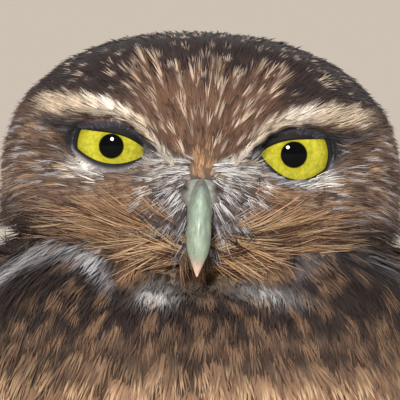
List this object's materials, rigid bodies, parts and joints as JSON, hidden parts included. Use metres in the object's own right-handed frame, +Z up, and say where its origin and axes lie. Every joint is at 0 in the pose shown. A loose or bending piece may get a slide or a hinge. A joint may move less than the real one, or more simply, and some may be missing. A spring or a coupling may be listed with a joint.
{
  "type": "burrowing owl",
  "caption": "Still life-size model of a burrowing owl that stands on both feet with its head drawn down between its shoulders.",
  "frame": {"origin": "on the floor under the middle of the bird's box", "axes": "+Z up, -Y the way the bird faces, +X towards the bird's left side"},
  "size_m": [0.098, 0.1134, 0.1961],
  "materials": {
    "crown_feathers": "soft brown feathers with pale spots and streaks",
    "breast_feathers": "soft feathers, brown above and pale with brown bars below",
    "flight_feathers": "smooth brown vanes with pale bars and spots",
    "leg_feathers": "short pale down",
    "toe_skin": "grey scaled skin with sparse bristles",
    "eye": "wet, yellow iris with a black pupil",
    "lid": "dark bare rim and fine grey lid feathers",
    "horn": "grey-green horn, satin, pinkish at its tip",
    "claw": "dark polished horn"
  },
  "bodies": {
    "root": {"head": "crown_feathers", "neck": "breast_feathers", "torso": "breast_feathers", "tail": "flight_feathers", "wing_left": "flight_feathers", "wing_right": "flight_feathers", "thigh_left": "leg_feathers", "thigh_right": "leg_feathers", "shank_left": "leg_feathers", "shank_right": "leg_feathers", "foot_left": "toe_skin", "foot_right": "toe_skin", "eye_left": "eye", "eye_right": "eye", "eyelids_left": "lid", "eyelids_right": "lid", "bill_upper": "horn", "bill_lower": "horn", "claw_left_inner": "claw", "claw_left_middle": "claw", "claw_left_outer": "claw", "claw_left_hind": "claw", "claw_right_inner": "claw", "claw_right_middle": "claw", "claw_right_outer": "claw", "claw_right_hind": "claw"}
  },
  "joints": []
}
